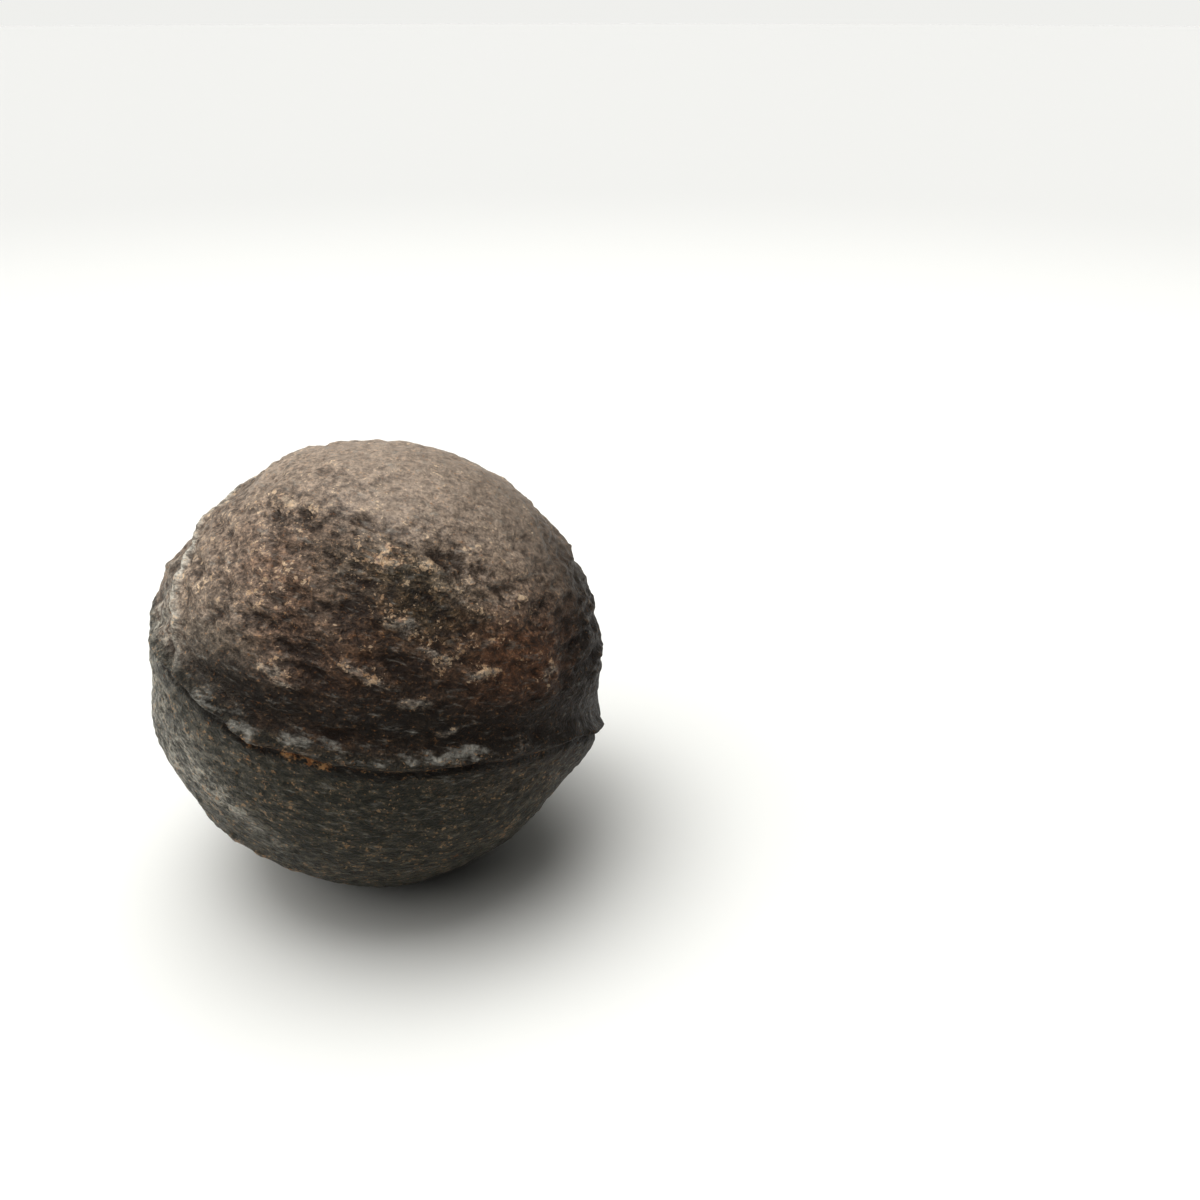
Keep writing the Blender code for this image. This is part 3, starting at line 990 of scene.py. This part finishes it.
def coverings(wire, mask, mottle, colour):
    """Dust and painted top light, soot and painted shade, and grey film and painted sheen over the varnish,
    and the pale edges of the upper ridge and its ribs.
    """
    # painted top light: the dust colour also lightens the sides that the lamps light most
    colour = wire.mix(mask.dusty, colour, DUST_AND_LIGHT)
    # painted shade: the soot colour also darkens hollows, the band under the lip and the right side
    colour = wire.mix(wire.times(mask.soot, 0.90), colour, SOOT_AND_SHADE)
    clouds = wire.ramp(mottle.middling, 0.42, 0.58, 0.60, 1.2)
    film = wire.times(mask.film, clouds, wire.ramp(mottle.crust, 0.40, 0.58, 0.22, 1.0))
    colour = wire.mix(film, colour, FILM_AND_SHEEN)
    lengths = wire.ramp(mottle.broad, 0.38, 0.58, 0.75, 1.0)
    bared = wire.times(mask.edge, wire.ramp(mottle.crust, 0.36, 0.6, 0.5, 0.95), lengths)
    return wire.mix(bared, colour, BARED_EDGE)


def worn_and_highlit_heights(wire, mask, mottle, colour):
    """Knobs worn and painted with a grey highlight, or tan in the dust and painted top light, and crests
    worn and painted with highlights, grey in some places and tan in others.
    """
    knob_highlight = wire.ramp(wire.times(mask.mark, wire.ramp(mottle.crust, 0.3, 0.6, 0.5, 1.5)), 0.25, 0.9)
    knob_highlight_tone = wire.mix(mask.dusty, KNOB_HIGHLIGHT_GREY, KNOB_HIGHLIGHT_TAN)
    colour = wire.mix(wire.times(knob_highlight, 0.7), colour, knob_highlight_tone, "LIGHTEN")
    # painted highlight: crests lightened grey or tan where they stand highest
    crest = wire.times(
        wire.ramp(mask.stands, 0.1, 1.1),
        wire.ramp(mask.over, 0.0, 1.0, 0.25, 0.7),
        wire.ramp(mask.soot, 0.0, 1.0, 1.0, 0.35),
        wire.ramp(mask.russet, 0.0, 1.0, 1.0, 0.6),
        wire.ramp(mask.dusty, 0.0, 0.6, 1.0, 0.6),
    )
    crest_highlight_tone = wire.mix(wire.ramp(mottle.patchwork, 0.42, 0.58), CREST_HIGHLIGHT_GREY, CREST_HIGHLIGHT_TAN)
    return wire.mix(crest, colour, crest_highlight_tone, "LIGHTEN")


def mottle_and_painted_shade(wire, mask, mottle, colour):
    """Mottled tone with painted light and shade: lighter and darker with the crust and grain noise that also
    make the bump, less so in the dust and painted top light, and painted shade nearly black in hollows.
    """
    clean = wire.times(mask.over, wire.reckon("SUBTRACT", 1.0, mask.dusty))
    soft_crust = wire.ramp(mottle.crust, 0.30, 0.70, 0.90, 1.10)
    strong_crust = wire.ramp(mottle.crust, 0.36, 0.64, 0.64, 1.40)
    strong_grain = wire.ramp(mottle.fine, 0.28, 0.72, 0.55, 1.45)
    soft_grain = wire.ramp(mottle.fine, 0.28, 0.72, 0.74, 1.26)
    crust = wire.blend(clean, soft_crust, strong_crust)
    level = wire.times(crust, wire.blend(mask.dusty, strong_grain, soft_grain))
    level = wire.add("ShaderNodeCombineColor", {0: level, 1: level, 2: level}).outputs[0]
    colour = wire.mix(1.0, colour, level, "MULTIPLY")
    # painted shade: nearly black where the relief lies low
    cavity_shade = wire.times(wire.ramp(mask.stands, -0.1, -1.3), wire.ramp(mask.dusty, 0.0, 1.0, 0.88, 0.42))
    return wire.mix(cavity_shade, colour, PAINTED_HOLLOW_SHADE)


def lip_wear(wire, mask, mottle, colour):
    """Smooth grey patches where the lip is worn, painted pale as highlights, and rust under it."""
    patch_highlight_tone = wire.mix(wire.ramp(mottle.crust, 0.35, 0.65), PATCH_HIGHLIGHT_GREY, PATCH_HIGHLIGHT_PALE)
    # painted highlight: worn lip patches painted pale where their up-facing ledges catch the top light
    colour = wire.mix(wire.times(mask.patch, 0.8), colour, patch_highlight_tone)
    stain = wire.ramp(wire.swing(mask.rust, mottle.fine, 2.6), 0.2, 1.0)
    rust_tone = wire.mix(wire.ramp(mottle.crust, 0.4, 0.6), DEEP_RUST, PALE_RUST)
    return wire.mix(stain, colour, rust_tone)


def bareness(wire, mask, mottle):
    """How bare the sand stands: more on crests and in clusters, less on worn patches, on soot and painted
    shade, and on dust and painted top light.
    """
    bare = wire.ramp(mottle.middling, 0.36, 0.64, 0.08, 0.48)
    bare = wire.plus(bare, wire.ramp(mask.stands, -0.6, 1.0), 0.46)
    bare = wire.plus(bare, mask.patch, -0.4)
    bare = wire.plus(bare, mask.soot, -0.35)
    bare = wire.plus(bare, mask.dusty, -0.10)
    return wire.times(bare, wire.ramp(mask.over, 0.0, 1.0, 0.82, 1.0))


def bare_sand(wire, mask, bare, place, flecks, colour):
    """Coarse and fine grains of bare sand, paler in the dust and painted top light and browner below the
    lip.
    """
    for size, strength in SAND_FLECKS:
        inputs = {"Place": place, "Fineness": 1 / size, "Bareness": bare}
        sand = wire.add("ShaderNodeGroup", inputs, node_tree=flecks).outputs
        quartz = wire.mix(sand["Tone"], SAND_AMBER, SAND_PALE)
        quartz = wire.mix(mask.dusty, quartz, SAND_DUSTY_AND_LIT)
        quartz = wire.mix(wire.ramp(mask.over, 0.0, 1.0, 0.70, 0.0), quartz, SAND_BELOW)
        colour = wire.mix(wire.times(sand["Fleck"], strength), colour, quartz)
    return colour


def stone_material(flecks, middle):
    """Ironstone: dark varnish under dust and painted top light and under soot and painted shade, worn,
    painted with highlights and rusty along the lip, with bare sand in it.
    """
    material = bpy.data.materials.new("ironstone")
    material.use_nodes = True
    tree = material.node_tree
    wire = Wiring(tree)
    place = belt_place(wire, middle)
    mottle = mottles(wire, place)
    mask = masks(wire, mottle)
    colour = varnish(wire, mask, mottle)
    for layer in (coverings, worn_and_highlit_heights, mottle_and_painted_shade, lip_wear):
        colour = layer(wire, mask, mottle, colour)
    colour = bare_sand(wire, mask, bareness(wire, mask, mottle), place, flecks, colour)
    rough = wire.plus(wire.ramp(mottle.fine, 0.3, 0.7, 0.34, 0.54), mask.patch, -0.12)
    height = wire.plus(mottle.crust, mottle.fine, 0.65)
    height = wire.times(height, wire.ramp(mask.dusty, 0.0, 0.7, 1.0, 0.32))
    bump = wire.add("ShaderNodeBump", {"Strength": 1.0, "Distance": BUMP_DEPTH, "Height": height})
    shader = tree.nodes["Principled BSDF"]
    tree.links.new(colour, shader.inputs["Base Color"])
    tree.links.new(rough, shader.inputs["Roughness"])
    tree.links.new(bump.outputs["Normal"], shader.inputs["Normal"])
    shader.inputs["IOR"].default_value = REFRACTION
    shader.inputs["Specular IOR Level"].default_value = SHEEN
    return material


# The floor: rings as shares of its radius, and its tone, painted darker from near the stone to far behind it
# as light falling off, in metres
FLOOR_RADIUS = 4.0
FLOOR_RINGS = (0.02, 0.1, 0.4, 1.0)
FLOOR_TURNS = 96
FLOOR_LIGHT_FALLOFF = (0.08, 0.50)
FLOOR_NEAR = rgb(0.80, 0.80, 0.78)
FLOOR_FAR_SHADED = rgb(0.650, 0.650, 0.640)

# The light: a dome brightest behind on the left, a wide lamp nearly overhead, and a wider one on the left
DOME_TOWARDS = (-0.38, 0.45, 0.8)
DOME_EDGES = (-0.4, 0.9)
DOME_STRENGTH = 0.62
BACKDROP_STRENGTH = 0.90
STUDIO_WHITE = rgb(1.0, 1.0, 0.98)
SOFTBOX_FROM = (-0.08, 0.08, 0.993)
SOFTBOX_POWER = 1.85
SOFTBOX_WIDTH = math.radians(56.0)
SIDE_LIGHT_FROM = (-0.58, -0.22, 0.78)
SIDE_LIGHT_POWER = 1.5
SIDE_LIGHT_WIDTH = math.radians(70.0)

# The camera, placed from the stone's middle. The gamma gives the strong contrast of the photograph
CAMERA_FROM_MIDDLE = (0.0, -111.677 * MM, 57.687 * MM)
CAMERA_YAW = math.radians(10.81)
CAMERA_PITCH = math.radians(25.0)
FOCAL_LENGTH = 39.0
SENSOR_WIDTH = 36.0
CAMERA_NEAR = 0.005
CAMERA_FAR = 20.0
CONTRAST_GAMMA = 0.75


def floor_material():
    """Pale and quite dull, painted a little darker far from the stone as light falling off."""
    material = bpy.data.materials.new("white_floor")
    material.use_nodes = True
    tree = material.node_tree
    wire = Wiring(tree)
    place = wire.add("ShaderNodeTexCoord").outputs["Object"]
    away = wire.add("ShaderNodeVectorMath", {0: place}, operation="LENGTH").outputs["Value"]
    # painted shade: the floor darkens with distance as light falling off
    tone = wire.mix(wire.ramp(away, *FLOOR_LIGHT_FALLOFF), FLOOR_NEAR, FLOOR_FAR_SHADED)
    shader = tree.nodes["Principled BSDF"]
    tree.links.new(tone, shader.inputs["Base Color"])
    shader.inputs["Roughness"].default_value = 1.0
    shader.inputs["Specular IOR Level"].default_value = 0.0
    return material


def studio_floor():
    """A flat round floor under the stone: rings of radius * (cos t, sin t), with quads between them."""
    turn = np.linspace(0, 2 * math.pi, FLOOR_TURNS, endpoint=False)
    radii = FLOOR_RADIUS * np.array(FLOOR_RINGS)
    ring = np.stack([np.cos(turn), np.sin(turn), 0 * turn], axis=-1)
    points = (radii[:, None, None] * ring).reshape(-1, 3) + [0, 0, cad_low.z]
    row, column = np.meshgrid(np.arange(len(radii) - 1), np.arange(FLOOR_TURNS), indexing="ij")
    here = row * FLOOR_TURNS + column
    beside = row * FLOOR_TURNS + (column + 1) % FLOOR_TURNS
    quads = np.stack([here, here + FLOOR_TURNS, beside + FLOOR_TURNS, beside], axis=-1).reshape(-1, 4)
    data = bpy.data.meshes.new("studio_floor")
    data.from_pydata(points.tolist(), [], quads.tolist() + [list(range(FLOOR_TURNS))])
    data.materials.append(floor_material())
    floor = bpy.data.objects.new("studio_floor", data)
    bpy.context.scene.collection.objects.link(floor)


def wide_lamp(name, side, power, width):
    """Soft light from this side: a far lamp that looks this wide from the stone."""
    lamp = bpy.data.lights.new(name, "SUN")
    lamp.energy = power
    lamp.angle = width
    held = bpy.data.objects.new(name, lamp)
    bpy.context.scene.collection.objects.link(held)
    held.location = side
    held.rotation_mode = "QUATERNION"
    held.rotation_quaternion = Vector(side).to_track_quat("Z", "Y")


def studio_world():
    """A soft dome of light, dark towards the front right, and a pale backdrop that only the camera sees."""
    world = bpy.data.worlds.new("studio")
    bpy.context.scene.world = world
    world.use_nodes = True
    tree = world.node_tree
    wire = Wiring(tree)
    inputs = {0: wire.add("ShaderNodeTexCoord").outputs["Generated"], 1: Vector(DOME_TOWARDS).normalized()}
    aligned = wire.add("ShaderNodeVectorMath", inputs, operation="DOT_PRODUCT").outputs["Value"]
    dome = wire.ramp(aligned, *DOME_EDGES, 0.0, DOME_STRENGTH)
    camera_ray = wire.add("ShaderNodeLightPath").outputs["Is Camera Ray"]
    back = tree.nodes["Background"]
    back.inputs["Color"].default_value = STUDIO_WHITE
    tree.links.new(wire.blend(camera_ray, dome, BACKDROP_STRENGTH), back.inputs["Strength"])


def studio_camera(middle):
    """The camera in front of the stone, looking down at it and a little to the right."""
    lens = bpy.data.cameras.new("camera")
    lens.sensor_width = SENSOR_WIDTH
    lens.lens = FOCAL_LENGTH
    lens.clip_start = CAMERA_NEAR
    lens.clip_end = CAMERA_FAR
    camera = bpy.data.objects.new("camera", lens)
    bpy.context.scene.collection.objects.link(camera)
    camera.location = middle + np.array(CAMERA_FROM_MIDDLE)
    camera.rotation_euler = (math.pi / 2 - CAMERA_PITCH, 0.0, -CAMERA_YAW)
    bpy.context.scene.camera = camera


stone, middle = make_stone()
stone.data.materials.append(stone_material(sand_fleck_group(), middle))
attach(stone, "root")
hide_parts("stone")

studio_floor()
studio_world()
wide_lamp("overhead_softbox", SOFTBOX_FROM, SOFTBOX_POWER, SOFTBOX_WIDTH)
wide_lamp("side_light", SIDE_LIGHT_FROM, SIDE_LIGHT_POWER, SIDE_LIGHT_WIDTH)
studio_camera(middle)
bpy.context.scene.view_settings.view_transform = "Standard"
bpy.context.scene.view_settings.gamma = CONTRAST_GAMMA
